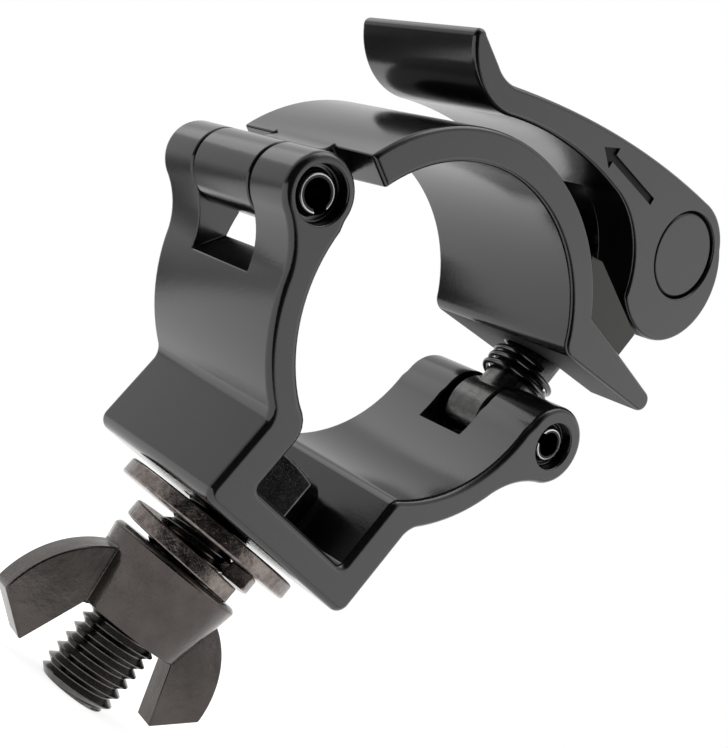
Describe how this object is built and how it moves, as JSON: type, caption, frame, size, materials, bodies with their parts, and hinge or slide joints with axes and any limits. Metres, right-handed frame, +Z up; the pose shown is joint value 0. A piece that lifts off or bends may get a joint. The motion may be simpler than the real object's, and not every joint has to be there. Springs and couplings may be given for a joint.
{
  "type": "quick-release pipe clamp",
  "caption": "Quick-release clamp that hangs equipment from a round bar, with a hinged jaw, a cam lever on a swing bolt and a mounting bolt with a wing nut.",
  "frame": {"origin": "centre of the tube bore, in the middle of the clamp's width", "axes": "+Y along the tube's axis, +X from the jaw's hinge to the swing bolt, +Z up from the mounting bolt to the cam lever"},
  "size_m": [0.0819, 0.034, 0.1268],
  "materials": {
    "black_coat": "black anodised, semi-gloss",
    "pad_metal": "satin dark olive",
    "pin_steel": "bright rolled spring steel",
    "bolt_steel": "blackened steel",
    "spring_steel": "dark spring wire"
  },
  "bodies": {
    "body": {"clamp_body": "black_coat", "hinge_pin": "pin_steel", "swing_bolt_pin": "pin_steel", "mounting_bolt": "bolt_steel"},
    "jaw": {"upper_jaw": "black_coat", "pressure_pad": "pad_metal"},
    "swing": {"swing_bolt": "bolt_steel", "cam_barrel_nut": "bolt_steel", "swing_spring": "spring_steel"},
    "lever": {"cam_lever": "black_coat"},
    "washers": {"flat_washer": "bolt_steel", "spring_washer": "bolt_steel"},
    "nut": {"wing_nut": "bolt_steel"}
  },
  "joints": [
    {"name": "swing_out", "type": "hinge", "parent": "body", "child": "swing", "pos_m": [0.0322, 0, 0.0031], "axis": [0, 1, 0], "range_deg": [0, 120]},
    {"name": "lever_turn", "type": "hinge", "parent": "swing", "child": "lever", "pos_m": [0.0322, 0, 0.0452], "axis": [0, 1, 0], "range_deg": [0, 170]},
    {"name": "jaw_hinge", "type": "hinge", "parent": "body", "child": "jaw", "pos_m": [-0.0312, 0, -0.0016], "axis": [0, -1, 0], "range_deg": [0, 1.36]},
    {"name": "nut_travel", "type": "slide", "parent": "body", "child": "washers", "axis": [0, 0, -1], "range_m": [0, 0.007]},
    {"name": "nut_spin", "type": "hinge", "parent": "washers", "child": "nut", "pos_m": [0.002, 0, -0.0488], "axis": [0, 0, -1], "range_deg": [0, 1440]}
  ],
  "couplings": [
    {"joint": "jaw_hinge", "follows": "lever_turn", "ratio": 0.008},
    {"joint": "nut_spin", "follows": "nut_travel", "rad_per_m": 3590.4}
  ]
}
